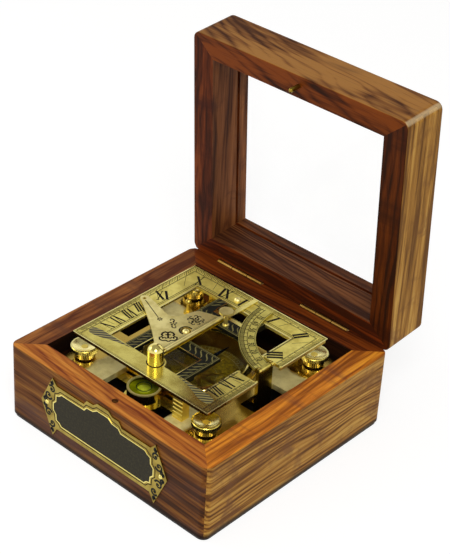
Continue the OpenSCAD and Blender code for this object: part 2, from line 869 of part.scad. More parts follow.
// Outline of the folded gnomon: its tip lies to the left, its long side along the noon line
module gnomon_outline() {
    low = fold_front + side_gap;
    high = fold_back - side_gap;
    difference() {
        polygon(concat([[gnomon_edge, low]], gnomon_shape, [[gnomon_edge, high]]));
        translate([tip_x, tip_y]) circle(tip_hole_r);
        translate([dome_x, dome_y]) circle(dome_r + dome_gap);
    }
}

module gnomon_plate() color(brass) difference() {
    union() {
        translate([0, 0, gnomon_z]) linear_extrude(gnomon_t) gnomon_outline();
        block(gnomon_edge - side_gap, noon_x, fold_front + side_gap, fold_back - side_gap,
            fold_z - fold_r, gnomon_z + gnomon_t);
        rod_y(fold_front + side_gap, fold_back - side_gap, noon_x, fold_z, fold_r);
    }
    rod_y(-frame_d, frame_d, noon_x, fold_z, fold_pin_r + run_gap);
}

module gnomon_pin() color(pale_brass)
    rod_y(fold_front - lug_len, fold_back + lug_len, noon_x, fold_z, fold_pin_r);

// Latitude arc, folded flat over the frame

module latitude_arc() color(brass) difference() {
    union() {
        translate([arc_c[0], arc_c[1], arc_z - arc_t / 2]) linear_extrude(arc_t) intersection() {
            difference() {
                circle(arc_r, $fn = 128);
                circle(arc_r - arc_band, $fn = 128);
            }
            translate([arc_x - arc_start - arc_c[0] - 2 * arc_r, -2 * arc_r]) square(2 * arc_r);
        }
        rod_y(arc_seat[0], arc_seat[1], arc_x, arc_z, arc_knuckle_r);
        block(arc_x - arc_start - 1, arc_x, arc_seat[0], arc_seat[1],
            arc_z - arc_t / 2, arc_z + arc_t / 2);
    }
    rod_y(-frame_d, frame_d, arc_x, arc_z, arc_pin_r + run_gap);
}

module arc_pin() color(pale_brass)
    rod_y(bracket_y[0], bracket_y[1] + bracket_ear, arc_x, arc_z, arc_pin_r);

base_front_rail();
base_back_rail();
base_left_rail();
base_right_rail();
base_floor();
base_felt();
base_lining();
lid_front_rail();
lid_back_rail();
lid_left_rail();
lid_right_rail();
lid_glass();
hinge_left_base_leaf();
hinge_left_lid_leaf();
hinge_left_pin();
hinge_right_base_leaf();
hinge_right_lid_leaf();
hinge_right_pin();
hinge_base_screws();
hinge_lid_screws();
catch_pin();
label_plate();
label_nails();
base_plate();
compass_bowl();
compass_bezel();
compass_card();
compass_pivot();
compass_needle();
compass_glass();
level_bracket();
level_housing();
level_fluid();
level_bubble();
level_glass();
level_ring();
plate_posts();
screw_head_front_left();
screw_head_front_right();
screw_head_back_left();
screw_head_back_right();
screw_stem_front_left();
screw_stem_front_right();
screw_stem_back_left();
screw_stem_back_right();
frame_posts();
arc_bracket();
plate_screws();
hour_frame();
frame_ears();
frame_pins();
gnomon_bridge();
back_bridge();
noon_bar();
frame_screws();
lifting_knob();
gnomon_plate();
gnomon_pin();
latitude_arc();
arc_pin();
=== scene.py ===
import bpy
from math import cos, pi, radians, sin
from mathutils import Matrix, Vector


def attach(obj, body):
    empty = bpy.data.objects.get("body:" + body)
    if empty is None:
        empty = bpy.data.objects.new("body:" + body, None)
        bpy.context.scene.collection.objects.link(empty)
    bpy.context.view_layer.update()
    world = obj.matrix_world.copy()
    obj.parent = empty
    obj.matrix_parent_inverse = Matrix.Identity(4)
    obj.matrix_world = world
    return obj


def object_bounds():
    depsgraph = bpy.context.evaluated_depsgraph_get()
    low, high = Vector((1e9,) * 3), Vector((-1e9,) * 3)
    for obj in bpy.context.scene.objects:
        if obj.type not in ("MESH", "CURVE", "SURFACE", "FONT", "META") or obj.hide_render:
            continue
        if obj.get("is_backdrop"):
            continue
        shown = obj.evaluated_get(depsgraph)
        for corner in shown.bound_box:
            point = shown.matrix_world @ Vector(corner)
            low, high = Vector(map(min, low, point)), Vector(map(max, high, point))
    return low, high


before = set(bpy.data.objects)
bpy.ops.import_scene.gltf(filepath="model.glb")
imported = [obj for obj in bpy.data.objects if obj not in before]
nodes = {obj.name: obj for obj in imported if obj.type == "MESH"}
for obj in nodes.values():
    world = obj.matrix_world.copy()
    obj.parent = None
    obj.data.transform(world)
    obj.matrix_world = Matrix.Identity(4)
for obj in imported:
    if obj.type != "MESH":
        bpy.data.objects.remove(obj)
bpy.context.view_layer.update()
scene = bpy.context.scene
MM = 0.001
X, Y, Z = 0, 1, 2


def c(r, g, b):
    """Linear colour from sRGB values of 0 to 255."""
    return tuple(((v / 255 + 0.055) / 1.055) ** 2.4 if v > 10.3 else v / 255 / 12.92
                 for v in (r, g, b)) + (1.0,)


def link(data, name):
    o = bpy.data.objects.new(name, data)
    scene.collection.objects.link(o)
    return o


# Camera: the photograph's azimuth, height, roll and framing
AZIMUTH, HEIGHT, ROLL = radians(42.07), radians(32.30), radians(2.80)
AIM = Vector((0, 0, 45))  # mm
PAN_X, PAN_Y, DISTANCE = 2.3, 44.3, 773.3  # mm
WIDE, HIGH = 450, 554  # pixels
FOCAL, CENTRE_X, CENTRE_Y = 1614.3, 195.4, 250.3  # pixels
SENSOR = 36  # mm

back = Vector((sin(AZIMUTH) * cos(HEIGHT), -cos(AZIMUTH) * cos(HEIGHT), sin(HEIGHT)))
right = Vector((cos(AZIMUTH), sin(AZIMUTH), 0))
up = back.cross(right)
right, up = right * cos(ROLL) + up * sin(ROLL), up * cos(ROLL) - right * sin(ROLL)
eye = AIM - (right * PAN_X - up * PAN_Y - back * DISTANCE)
cam = bpy.data.cameras.new("camera")
cam.lens = FOCAL / HIGH * SENSOR
cam.sensor_width = SENSOR
cam.shift_x = (WIDE / 2 - CENTRE_X) / HIGH
cam.shift_y = (CENTRE_Y - HIGH / 2) / HIGH
cam.clip_start, cam.clip_end = 0.01, 20
camera = link(cam, "camera")
camera.matrix_world = Matrix.Translation(eye * MM) @ Matrix((right, up, back)).transposed().to_4x4()
scene.camera = camera
scene.view_settings.view_transform = "Standard"


# Materials
class Mat:
    """A Principled material, with short names for the nodes that feed it."""

    def __init__(self, name, **sockets):
        self.m = bpy.data.materials.new(name)
        self.m.use_nodes = True
        self.t = self.m.node_tree
        self.p = self.t.nodes["Principled BSDF"]
        self.co = self.new("TexCoord").outputs["Object"]
        for k, v in sockets.items():
            self.set(k.replace("_", " "), v)

    def new(self, kind, **props):
        n = self.t.nodes.new("ShaderNode" + kind)
        for k, v in props.items():
            setattr(n, k, v)
        return n

    def feed(self, socket, v):
        if isinstance(v, bpy.types.NodeSocket):
            self.t.links.new(v, socket)
        elif v is not None:
            socket.default_value = v

    def set(self, name, v):
        self.feed(self.p.inputs[name], v)

    def filled(self, kind, values, **props):
        """A node with values set on the inputs named."""
        n = self.new(kind, **props)
        for k, v in values.items():
            self.feed(n.inputs[k], v)
        return n

    def math(self, op, a, b=None, d=None):
        return self.filled("Math", {0: a, 1: b, 2: d}, operation=op).outputs[0]

    def span(self, v, a, b, x=0.0, y=1.0):
        """Smooth step from x to y while v goes from a to b."""
        n = self.new("MapRange", interpolation_type="SMOOTHSTEP")
        for s, q in zip(n.inputs[:5], (v, a, b, x, y)):
            self.feed(s, q)
        return n.outputs[0]

    def scaled(self, scale, rot, loc=(0, 0, 0)):
        return self.filled("Mapping", {"Vector": self.co, "Scale": scale, "Rotation": rot,
                                       "Location": loc}).outputs[0]

    def noise(self, scale, detail, rough, at=None, distort=0.0):
        """scale is in waves per metre."""
        return self.filled("TexNoise", {"Vector": at or self.co, "Scale": scale, "Detail": detail,
                                        "Roughness": rough, "Distortion": distort}).outputs["Fac"]

    def wave(self, scale, at, distort, detail, dscale):
        return self.filled("TexWave", {"Vector": at, "Scale": scale, "Distortion": distort, "Detail": detail,
                                       "Detail Scale": dscale}, bands_direction="X").outputs["Fac"]

    def mix(self, f, a, b, blend="MIX"):
        n = self.new("Mix", data_type="RGBA", blend_type=blend)
        for s, v in zip((n.inputs[0], n.inputs[6], n.inputs[7]), (f, a, b)):
            self.feed(s, v)
        return n.outputs[2]

    def ramp(self, f, *stops):
        n = self.filled("ValToRGB", {0: f})
        e = n.color_ramp.elements
        while len(e) < len(stops):
            e.new(0.5)
        for k, (pos, col) in zip(e, stops):
            k.position, k.color = pos, col
        return n.outputs[0]

    def bump(self, height, strength, distance):
        n = self.filled("Bump", {"Strength": strength, "Distance": distance, "Height": height})
        self.set("Normal", n.outputs[0])

    def part(self, vector, axis):
        return self.filled("SeparateXYZ", {0: vector}).outputs[axis]

    def normal(self, axis):
        return self.part(self.new("TexCoord").outputs["Normal"], axis)

    def place(self, axis):
        return self.part(self.co, axis)


# Dark line, middle, light and streak of each face of the wood. The faces differ partly in the wood's own tone
# and partly as painted light and shade: faces that the light falls on are lighter, faces turned from it
# darker.
RIM = (c(118, 54, 26), c(174, 100, 38), c(208, 134, 54), c(112, 52, 34))
RIGHT_RIM = (c(140, 74, 22), c(200, 118, 34), c(236, 158, 48), c(106, 60, 42))
FRONT = (c(60, 33, 14), c(106, 60, 22), c(147, 96, 36), c(86, 56, 46))
SIDE = (c(99, 60, 27), c(174, 123, 53), c(207, 162, 78), c(116, 76, 44))
LID_OUT = (c(66, 33, 9), c(122, 75, 30), c(158, 108, 48), c(74, 40, 14))
LID_RIM = (c(52, 20, 5), c(95, 40, 9), c(126, 59, 16), c(55, 18, 5))
# LID_RIM_F, LID_RIM_R and LID_RIM_B are LID_RIM made darker or lighter for the lid's front, right and back
# rails: painted shade and painted light
LID_RIM_F = (c(44, 17, 3), c(89, 39, 6), c(122, 58, 12), c(50, 17, 4))
LID_RIM_R = (c(42, 16, 3), c(79, 33, 5), c(104, 49, 11), c(44, 15, 3))
LID_RIM_B = (c(60, 23, 6), c(110, 45, 10), c(146, 67, 18), c(64, 21, 6))
LID_IN = (c(54, 26, 12), c(105, 60, 28), c(133, 81, 41), c(68, 34, 17))
LID_SIDE = (c(106, 68, 24), c(173, 123, 51), c(211, 164, 80), c(119, 78, 34))
LEFT_RIM = (c(88, 43, 21), c(138, 81, 37), c(171, 111, 52), c(92, 54, 34))
# Near black: painted shade on the base rails' inner faces and along their foot; its middle also darkens the
# pores
DEEP = (c(22, 10, 4), c(42, 20, 8), c(56, 30, 14), c(24, 10, 6))
# Pale colour of a painted highlight along the lid's edges
ARRIS_HIGHLIGHT = c(212, 190, 150)
TURN = 6283.2  # radians per metre of a wave 1 mm long
BROAD = 3.3  # length of the broad bands over that of the growth lines


def wood(name, grain, base, masks, seed, figure=0.6, period=2.6, tilt=0.03, foot=False,
         wander=0.04, line=0.3, arris_highlight=False, flame=0.7):
    """Figured hardwood with growth lines along one axis.

    grain: the axis that it runs along. masks: (axis, sign, palette) for the faces turned that way; the
    palettes are partly the wood's tone and partly painted light and shade.
    period: mm between the growth lines. tilt and wander: how they slant and how far they stray.
    figure, line and flame: strength of the cloud, the lines and the streaks.
    foot: painted shade, darker along the bottom. arris_highlight: painted highlight, pale along the edges.
    """
    m = Mat(name, IOR=1.45)

    def run(stretch, rot, loc):
        scale = [1.0, 1.0, 1.0]
        scale[grain] = stretch
        return m.scaled(scale, rot, loc)

    def stripes(turn):
        return m.math("MULTIPLY_ADD", m.math("SINE", m.math("MULTIPLY", at, turn)), 0.5, 0.5)

    def vary(f, v, middle, k):
        return m.math("MULTIPLY_ADD", m.math("SUBTRACT", v, middle), k, f)

    drift = m.noise(24, 3, 0.5, run(0.2, (0.05, 0.1, 0.2), (seed, 0, 0)), 0.4)
    fine = m.noise(110, 3, 0.55, run(0.2, (0.0, 0.1, 0.1), (0, seed, 0)))
    slope = [1.0, 0.9, 1.07]
    slope[grain] = tilt
    cross = m.filled("VectorMath", {0: m.co, 1: slope}, operation="DOT_PRODUCT")
    at = m.math("MULTIPLY_ADD", drift, wander, cross.outputs["Value"])
    at = m.math("MULTIPLY_ADD", fine, 0.004, at)
    thin = m.math("POWER", stripes(TURN / period), 0.5)
    broad = stripes(TURN / period / BROAD)
    wide = m.noise(30, 3, 0.55, run(0.2, (0.1, 0.2, 0.35), (0, 0, seed)), 0.6)
    plain = m.noise(46, 2, 0.5, run(0.2, (0.2, 0.1, 0.0), (0, seed, seed)))
    band = m.noise(380, 4, 0.62, run(0.05, (0.0, 0.0, 0.0), (seed, seed, 0)))
    hair = m.noise(1500, 3, 0.6, run(0.02, (0.02, 0.01, 0.02), (0, seed, 0)))
    pores = m.noise(2400, 2, 0.5, run(0.02, (0.02, 0.01, 0.02), (seed, 0, 0)))
    f = vary(0.5, thin, 0.78, m.math("MULTIPLY", m.span(plain, 0.38, 0.62, 0.25, 1.0), line))
    f = vary(f, broad, 0.5, 0.2)
    f = vary(f, band, 0.5, 0.75)
    f = vary(f, wide, 0.5, figure * 1.3)
    f = vary(f, hair, 0.5, 0.4)
    skew = m.scaled((0.16, 1.0, 1.0), (0.15, 0.5, 0.42), (0, seed, 0))
    streak = m.span(m.noise(62, 4, 0.6, skew, 0.3), 0.5, 0.68)

    def palette(p):
        grown = m.ramp(f, (0.28, p[0]), (0.5, p[1]), (0.72, p[2]))
        return m.mix(m.math("MULTIPLY", streak, flame), grown, p[3])

    col = palette(base)
    # Each face takes its own palette by the way it is turned: partly the wood's tone, partly painted light
    # and shade
    for axis, sign, p in masks:
        k = m.span(m.math("MULTIPLY", m.normal(axis), float(sign)), 0.55, 0.85)
        col = m.mix(k, col, palette(p))
    # Painted shade: darker towards the bottom, where the rails stand on the floor
    if foot:
        low = m.math("MULTIPLY_ADD", wide, 0.002, m.place(Z))
        col = m.mix(m.span(low, 0.0034, 0.0060, 0.9, 0.0), col, DEEP[0])
    # Painted highlight: a pale colour along the arrises, where the edges catch the light
    if arris_highlight:
        arris = m.math("ABSOLUTE", m.math("MULTIPLY", m.normal(X), m.normal(Z)))
        arris = m.math("MULTIPLY_ADD", wide, 0.2, arris)
        col = m.mix(m.span(arris, 0.42, 0.6, 0.0, 0.55), col, ARRIS_HIGHLIGHT)
    m.set("Base Color", m.mix(m.span(pores, 0.30, 0.42, 0.35, 0.0), col, DEEP[1]))
    m.set("Roughness", m.span(f, 0.2, 0.8, 0.6, 0.46))
    m.set("Specular IOR Level", 0.12)
    m.bump(m.math("ADD", pores, hair), 0.2, 0.0001)
    return m.m


# Painted shade: the darker colour of the base plate outside its patches, for the shade and dark reflections
# there
PLATE_SHADE = c(198, 166, 78)
# The hour frame's front bar is painted darker than its sides, as painted shade, and is glossier; its back bar
# is rougher
FRONT_BAR_SHADE, FRONT_ROUGH, BACK_ROUGH = (0.82, 0.81, 0.80, 1), 0.5, 0.16


def metal(name, colour, rough, tint=0.08, scratch=0.012, spots=None, bars=False, wave=0.3, lit_patches=None):
    """Polished metal with a faint tarnish, fine scratches and the waviness of a hand-buffed face.

    spots: colour of dark specks. bars: the hour frame's front bar is painted darker than its sides, as
    painted shade, and glossier, and its back bar is rougher.
    lit_patches: (x from, x to, y from, y to) in mm, the same at both sides, of patches that keep the plain
    colour and are rougher; elsewhere the colour is darkened as painted shade.
    """
    m = Mat(name, Metallic=1.0)
    cloud = m.noise(140, 4, 0.6)
    faded = tuple(v * (1 - tint * k) for v, k in zip(colour[:3], (3.0, 3.4, 5.0))) + (1.0,)
    col = m.mix(m.span(cloud, 0.35, 0.7), colour, faded)
    if spots:
        col = m.mix(m.span(m.noise(900, 2, 0.6), 0.66, 0.75), col, spots)
    lines = m.noise(1800, 2, 0.5, m.scaled((1.0, 0.03, 1.0), (0.1, 0, 0.5)))
    r = m.span(m.math("ADD", cloud, lines), 0.7, 1.3, rough, rough + 0.09)
    if bars:
        at = m.span(m.place(Y), -0.033, -0.024)
        # Painted shade: the front bar's colour is multiplied darker
        col = m.mix(at, m.mix(1.0, col, FRONT_BAR_SHADE, "MULTIPLY"), col)
        r = m.math("MULTIPLY", r, m.math("MULTIPLY_ADD", at, 1 - FRONT_ROUGH, FRONT_ROUGH))
        r = m.math("MULTIPLY_ADD", m.span(m.place(Y), 0.024, 0.033), BACK_ROUGH, r)
    if lit_patches:
        stray = m.math("MULTIPLY_ADD", m.noise(90, 2, 0.5), 0.006, -0.003)

        def within(at, lo, hi):
            middle, half = (lo + hi) / 2000, (hi - lo) / 2000
            off = m.math("ABSOLUTE", m.math("ADD", m.math("SUBTRACT", at, middle), stray))
            return m.span(off, half - 0.001, half + 0.0015, 1.0, 0.0)

        keep = 0.0
        for x0, x1, y0, y1 in lit_patches:
            across = within(m.math("ABSOLUTE", m.place(X)), x0, x1)
            keep = m.math("MAXIMUM", keep, m.math("MULTIPLY", across, within(m.place(Y), y0, y1)))
        # Painted shade: outside the patches the colour is darkened
        col = m.mix(keep, PLATE_SHADE, col)
        r = m.math("MULTIPLY_ADD", keep, 0.5, r)
    m.set("Base Color", col)
    m.set("Roughness", r)
    buffed = m.math("MULTIPLY", m.noise(38, 2, 0.45), wave)
    m.bump(m.math("MULTIPLY_ADD", lines, scratch, buffed), 1.0, 0.0004)
    return m.m


def enamel(name, colour, rough, pale=None):
    """Matt filling of an engraved line or field."""
    m = Mat(name, IOR=1.45)
    m.set("Specular IOR Level", 0.12)
    k = m.noise(900, 3, 0.6)
    pale = pale or tuple(min(1.0, v * 1.9 + 0.004) for v in colour[:3]) + (1.0,)
    m.set("Base Color", m.mix(m.span(k, 0.4, 0.75), colour, pale))
    m.set("Roughness", m.span(k, 0.3, 0.7, rough, rough + 0.15))
    m.bump(k, 0.08, 0.00005)
    return m.m


def clear(name, colour, ior):
    m = Mat(name, Roughness=0.0, IOR=ior)
    m.set("Transmission Weight", 1.0)
    k = m.noise(60, 2, 0.5)
    m.set("Base Color", m.mix(m.span(k, 0.3, 0.8), colour, tuple(v * 0.985 for v in colour[:3]) + (1.0,)))
    return m.m


def mottled(name, grain, low, high, **sockets):
    """A colour that runs from low to high with a noise; grain: its scale, detail and roughness."""
    m = Mat(name, **sockets)
    m.set("Base Color", m.ramp(m.noise(*grain), low, high))
    return m


brass = metal("brass", c(228, 206, 102), 0.14, 0.07)
face = metal("brass_face", c(252, 236, 130), 0.34, 0.08, bars=True, wave=0.9)
arc_face = metal("brass_arc", c(226, 212, 112), 0.3, 0.08, wave=1.0)
satin = metal("brass_satin", c(255, 240, 162), 0.34, 0.08, wave=1.5)
pale = metal("brass_pale", c(255, 242, 166), 0.2, 0.04, 0.004)
gold = metal("brass_gold", c(255, 228, 112), 0.36, 0.06, wave=1.2)
hinge = metal("brass_hinge", c(182, 140, 70), 0.3, 0.1)
plate = metal("brass_plate", c(255, 246, 190), 0.16, 0.06, wave=0.5,
              lit_patches=((20, 32, -46, -29), (28, 46, 11.5, 26)))
bright = metal("brass_bright", c(242, 226, 134), 0.12, 0.05)
dull = metal("brass_dull", c(150, 118, 56), 0.32, 0.1)
olive = metal("brass_olive", c(170, 148, 66), 0.26, 0.12, 0.05, c(84, 68, 26))
level_brass = metal("brass_ring", c(255, 242, 162), 0.5, 0.04, wave=0.5)
steel = metal("blued_steel", c(60, 78, 120), 0.2, 0.05)
ink = enamel("engraving", c(26, 20, 10), 0.6)
soft_ink = enamel("engraving_fine", c(62, 50, 24), 0.6)
black = enamel("enamel_black", c(14, 15, 8), 0.4)
rope = enamel("enamel_lines", c(122, 114, 66), 0.4, c(96, 88, 48))
field = enamel("label_field", c(46, 42, 30), 0.45, c(66, 62, 44))
level_line = enamel("level_line", c(30, 50, 10), 0.4)
pane = clear("pane", (1, 1, 1, 1), 1.1)
lens = clear("level_glass", c(250, 250, 200), 1.08)
felt = mottled("felt", (2200, 4, 0.7), (0.3, c(14, 11, 10)), (0.7, c(34, 28, 26)), Roughness=0.95,
               Sheen_Weight=0.3)
felt.bump(felt.noise(2600, 3, 0.7), 0.5, 0.0002)
card = mottled("card", (500, 4, 0.6), (0.3, c(50, 38, 3)), (0.75, c(120, 100, 6)), Roughness=0.6,
               Specular_IOR_Level=0.15)
green = mottled("level_green", (260, 3, 0.5), (0.3, c(142, 148, 12)), (0.7, c(176, 178, 24)), Roughness=0.12)
bubble = mottled("bubble", (400, 2, 0.5), (0.3, c(196, 204, 50)), (0.7, c(224, 228, 90)), Roughness=0.08)


def paint(mat, *names):
    for n in names:
        me = nodes[n].data
        me.materials.clear()
        me.materials.append(mat)


paint(wood("wood_front", X, FRONT, [(Z, 1, RIM), (Y, 1, DEEP)], 1.0, figure=0.9, tilt=0.05, foot=True,
           wander=0.03, line=0.2, flame=0.9), "base_front_rail")
paint(wood("wood_back", X, SIDE, [(Z, 1, LID_RIM), (Y, -1, DEEP)], 2.0, foot=True), "base_back_rail")
paint(wood("wood_left", Y, SIDE, [(Z, 1, LEFT_RIM), (X, 1, DEEP)], 3.0, foot=True), "base_left_rail")
paint(wood("wood_right", Y, SIDE, [(Z, 1, RIGHT_RIM), (X, -1, DEEP)], 4.0, figure=0.42, period=2.4,
           foot=True, wander=0.02), "base_right_rail")
paint(wood("wood_lid_front", X, LID_OUT, [(Y, -1, LID_RIM_F), (Z, -1, LID_IN)], 5.0, figure=1.5, period=5.2,
           tilt=0.34, wander=0.06, arris_highlight=True), "lid_front_rail")
paint(wood("wood_lid_back", X, LID_OUT, [(Y, -1, LID_RIM_B), (Z, 1, LID_IN)], 6.0), "lid_back_rail")
paint(wood("wood_lid_left", Z, LID_SIDE, [(Y, -1, LID_RIM), (X, 1, LID_IN)], 7.0, arris_highlight=True), "lid_left_rail")
paint(wood("wood_lid_right", Z, LID_SIDE, [(Y, -1, LID_RIM_R), (X, -1, LID_IN)], 8.0, figure=0.42,
           period=3.4, wander=0.018, arris_highlight=True), "lid_right_rail")
paint(wood("wood_floor", X, LID_IN, [], 9.0), "base_floor")

corners = {"front_left": (-1, -1), "front_right": (1, -1), "back_left": (-1, 1), "back_right": (1, 1)}
paint(felt.m, "base_felt", "base_lining")
paint(pane, "lid_glass", "compass_glass")
paint(lens, "level_glass")
for n in ("lid_glass", "compass_glass", "level_glass"):
    nodes[n].visible_shadow = False
paint(hinge, "hinge_left_base_leaf", "hinge_left_lid_leaf", "hinge_right_base_leaf", "hinge_right_lid_leaf",
      "hinge_left_pin", "hinge_right_pin")
paint(brass, "compass_pivot", "level_bracket", "level_housing", "frame_posts", "arc_bracket", "frame_ears")
paint(pale, *["screw_head_" + k for k in corners])
paint(gold, "plate_posts")
paint(face, "hour_frame")
paint(satin, "gnomon_plate", "frame_screws")
paint(level_brass, "level_ring")
paint(arc_face, "latitude_arc")
paint(plate, "base_plate")
paint(olive, "label_plate", "catch_pin")
paint(bright, "hinge_base_screws", "hinge_lid_screws", "label_nails", "compass_bezel", "plate_screws",
      "frame_pins", "noon_bar", "lifting_knob", "gnomon_pin", "arc_pin",
      *["screw_stem_" + k for k in corners])
paint(black, "gnomon_bridge", "back_bridge")
paint(dull, "compass_bowl")
paint(card.m, "compass_card")
paint(steel, "compass_needle")
paint(green.m, "level_fluid")
paint(bubble.m, "level_bubble")


# Thin pieces: flat shapes a few hundredths of a millimetre thick, laid on a face
def ribbon(pts, w, closed=False):
    """Quads along a line; w is a width or a function of the way along it, 0 to 1."""
    pts = [Vector(p) for p in pts]
    n = len(pts)
    out, sides = [], []
    for i, p in enumerate(pts):
        a = pts[i - 1] if i or closed else p
        b = pts[(i + 1) % n] if i < n - 1 or closed else p
        d1, d2 = (p - a), (b - p)
        d1 = d1.normalized() if d1.length > 1e-9 else d2.normalized()
        d2 = d2.normalized() if d2.length > 1e-9 else d1
        t = (d1 + d2).normalized() if (d1 + d2).length > 1e-6 else d1
        miter = max(0.45, t.dot(d1))
        h = (w(i / (n - 1)) if callable(w) else w) / 2 / miter
        side = Vector((-t.y, t.x)) * h
        sides.append((p + side, p - side))
    for i in range(n if closed else n - 1):
        (a, b), (d, e) = sides[i], sides[(i + 1) % n]
        out.append([b, e, d, a])
    return out


def laid(name, body, mat, polys, z, t=0.03, turn=None):
    """A piece made of flat outlines in mm, from height z up by t; turn moves points to another face."""
    verts, faces = [], []
    for poly in polys:
        poly = [Vector(p) for p in poly]
        area = sum(p.x * q.y - q.x * p.y for p, q in zip(poly, poly[1:] + poly[:1]))
        if area < 0:
            poly.reverse()
        k, n = len(verts), len(poly)
        verts += [(p.x, p.y, z) for p in poly] + [(p.x, p.y, z + t) for p in poly]
        faces.append(tuple(range(k + n, k + 2 * n)))
        faces.append(tuple(range(k + n - 1, k - 1, -1)))
        faces += [(k + i, k + (i + 1) % n, k + n + (i + 1) % n, k + n + i) for i in range(n)]
    me = bpy.data.meshes.new(name)
    me.from_pydata([tuple(v * MM for v in (turn(p) if turn else p)) for p in verts], [], faces)
    me.materials.append(mat)
    me.validate()
    o = link(me, name)
    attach(o, body)


def circle(cx, cy, r, n=32, a0=0.0, a1=360.0):
    full = abs(a1 - a0) >= 360
    return [(cx + r * cos(radians(a0 + (a1 - a0) * i / (n if full else n - 1))),
             cy + r * sin(radians(a0 + (a1 - a0) * i / (n if full else n - 1)))) for i in range(n)]


def ring(cx, cy, r, w, n):
    return ribbon(circle(cx, cy, r, n), w, True)


def resized(polys, kx, ky=1.0):
    return [[(x * kx, y * ky) for x, y in poly] for poly in polys]


def turned(polys, at, up):
    u = Vector(up).normalized()
    r = Vector((u.y, -u.x))
    return [[tuple(Vector(at) + r * px + u * py) for px, py in poly] for poly in polys]


THICK, THIN, SERIF = 0.17, 0.06, 0.045  # of a numeral's strokes, over its height


def glyphs(text, h, spread=1.0):
    """Roman numeral as outlines, centred, h high."""
    def stroke(low, high, w):
        return [(low - w / 2, 0), (low + w / 2, 0), (high + w / 2, 1), (high - w / 2, 1)]

    def block(x0, x1, y0, y1):
        return [(x0, y0), (x1, y0), (x1, y1), (x0, y1)]

    x, polys = 0.0, []
    for ch in text:
        w = 0.2 if ch == "I" else 0.5
        a, b = x + 0.09, x + w - 0.05
        foot = x + w / 2 + 0.02
        if ch == "I":
            polys.append(stroke(x + w / 2, x + w / 2, THICK))
            ends = [(x, x + w)]
        elif ch == "V":
            polys += [stroke(foot, a, THICK), stroke(foot, b, THIN)]
            ends = [(a - 0.1, a + 0.1), (b - 0.07, b + 0.07)]
        else:
            polys += [stroke(b, a, THICK), stroke(a, b, THIN)]
            ends = [(a - 0.1, a + 0.1), (b - 0.1, b + 0.1)]
        for e0, e1 in ends:
            polys.append(block(e0, e1, 1, 1 + SERIF))
            if ch != "V":
                polys.append(block(e0, e1, -SERIF, 0))
        if ch == "V":
            polys.append(block(foot - 0.09, foot + 0.09, -SERIF, 0))
        x += (w + 0.05) * spread
    return [[((px - (x - 0.05) / 2) * h, (py - 0.5) * h) for px, py in poly] for poly in polys]


# The hour frame in mm: its outline and the height of its face, its window, half the gap in its right bar
HALF_W, HALF_D, TOP = 44.0, 42.2, 49.7
LEFT, RIGHT, NEAR, FAR = -30, 31.4, -31, 29.2
GAP = 9.2
# The noon line, and the point on it where the hour lines meet
NOON_X = -0.8
FOOT = Vector((NOON_X, -19.5))
# Thickness of thin lines and of bright edges
LINE_T, EDGE_T = 0.025, 0.02


def to_edge(deg, inset):
    """Where the hour line at this angle from noon meets the frame's outline, drawn in by inset."""
    d = Vector((sin(radians(deg)), cos(radians(deg))))
    t = []
    for k, lim in ((0, HALF_W - inset), (1, HALF_D - inset)):
        if abs(d[k]) > 1e-6:
            t.append(((lim if d[k] > 0 else -lim) - FOOT[k]) / d[k])
    return FOOT + d * min(v for v in t if v > 0)


def in_gap(p):
    return p.x > 30 and abs(p.y) < GAP + 0.1


hours = [("I", (15.8, 34.9)), ("II", (33.4, 34.6)), ("III", (35.2, 13.6)),
         ("V", (35.2, -12.8)), ("VI", (35.2, -19.8)), ("VII", (35.2, -27.4)),
         ("XI", (-15.6, 34.9)), ("X", (-32.4, 33.6)), ("IX", (-36.1, 10.6)), ("VIII", (-36.1, -3.8)),
         ("VII", (-36.1, -12.2)), ("VI", (-36.1, -20.0)), ("V", (-36.1, -27.2))]
NUMERAL_H, NOON_H = 7.0, 6.4
marks = turned(resized(glyphs("XII", NOON_H, 1.3), 1.15), (-1.0, 34.9), (0, -1))
for text, at in hours:
    wide = 0.74 if text[0] == "V" else 1.12
    marks += turned(resized(glyphs(text, NUMERAL_H), wide), at, (FOOT - Vector(at)).normalized())
# The noon bar covers the middle of the twelve
marks = [q for q in marks if not any(abs(p[0] - NOON_X) < 1.5 and p[1] > 20 for p in q)]
laid("hour_numerals", "frame", ink, marks, TOP)

# Ticks every 0.75 degrees from noon, clear of the noon bar and the front bar, and a line at each half hour
STEP, TRACK, SHORT, LONG, HALF_FROM, HALF_TO = 0.75, 1.2, 2.9, 3.7, 4.6, 9.4
ticks = []
for i in range(-161, 162):
    long = i % 5 == 0
    a, b = to_edge(i * STEP, TRACK), to_edge(i * STEP, LONG if long else SHORT)
    if not in_gap(a) and abs(i * STEP) > 1.6 and b.y > -38.2:
        ticks += ribbon([a, b], 0.34 if long else 0.26)
for deg in [side * (7.5 + 15 * i) for side in (1, -1) for i in range(7)]:
    a, b = to_edge(deg, HALF_FROM), to_edge(deg, HALF_TO)
    if not in_gap(a) and not in_gap(b):
        ticks += ribbon([a, b], 0.2)
laid("minute_track", "frame", soft_ink, ticks, TOP, LINE_T)


def along_rails(inset, w, y_front=-40.6):
    x, y = HALF_W - inset, HALF_D - inset
    pts = [[(-x, y_front), (-x, y), (x, y), (x, GAP)], [(x, -GAP), (x, y_front)]]
    return [q for line in pts for q in ribbon(line, w)]


